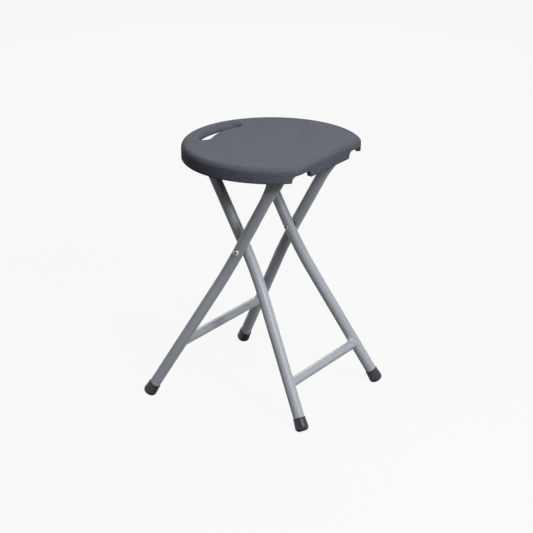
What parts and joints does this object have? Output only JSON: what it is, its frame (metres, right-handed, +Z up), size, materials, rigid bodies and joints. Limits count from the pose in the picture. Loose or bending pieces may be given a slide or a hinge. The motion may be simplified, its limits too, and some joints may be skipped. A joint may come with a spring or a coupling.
{
  "type": "folding stool",
  "caption": "Round moulded seat with one flat side and a carrying slot, on a scissor frame of splayed steel tube legs that folds flat as the seat tips up.",
  "frame": {"origin": "on the floor, midway between the four feet", "axes": "+Z up; +X from the carrying slot towards the flat side of the seat; +Y to the left"},
  "size_m": [0.318, 0.309, 0.4492],
  "materials": {
    "seat_plastic": "dark blue-grey blow-moulded polyethylene with a fine pebble grain",
    "frame_paint": "satin silver-grey powder coat on steel tube",
    "foot_rubber": "smooth dark grey moulded cap",
    "rivet_steel": "bright formed steel",
    "zinc_steel": "zinc-plated pressed steel",
    "spacer_plastic": "plain black plastic washer",
    "catch_plastic": "plain moulded dark plastic"
  },
  "bodies": {
    "outer_frame": {"outer_crossbar": "frame_paint", "outer_crossbar_welds": "frame_paint", "outer_leg_left": "frame_paint", "outer_foot_left": "foot_rubber", "pivot_rivet_left": "rivet_steel", "pivot_spacer_left": "spacer_plastic", "outer_leg_right": "frame_paint", "outer_foot_right": "foot_rubber", "pivot_rivet_right": "rivet_steel", "pivot_spacer_right": "spacer_plastic"},
    "inner_frame": {"inner_frame_tube": "frame_paint", "inner_crossbar": "frame_paint", "inner_crossbar_welds": "frame_paint", "inner_foot_left": "foot_rubber", "inner_foot_right": "foot_rubber"},
    "seat": {"seat_shell": "seat_plastic", "bar_catch": "catch_plastic", "hinge_washers": "zinc_steel", "hinge_screws": "zinc_steel", "catch_screws": "zinc_steel", "hinge_bracket_left": "zinc_steel", "hinge_pin_left": "rivet_steel", "hinge_bracket_right": "zinc_steel", "hinge_pin_right": "rivet_steel"}
  },
  "joints": [
    {"name": "seat_fold", "type": "hinge", "parent": "outer_frame", "child": "seat", "pos_m": [0.07812, 0, 0.4207], "axis": [0, 1, 0], "range_deg": [0, 118]},
    {"name": "scissor_fold", "type": "hinge", "parent": "outer_frame", "child": "inner_frame", "pos_m": [0, 0, 0.2786], "axis": [0, 1, 0], "range_deg": [0, 52.4]}
  ],
  "couplings": [
    {"joint": "scissor_fold", "follows": "seat_fold", "ratio": 0.444}
  ]
}
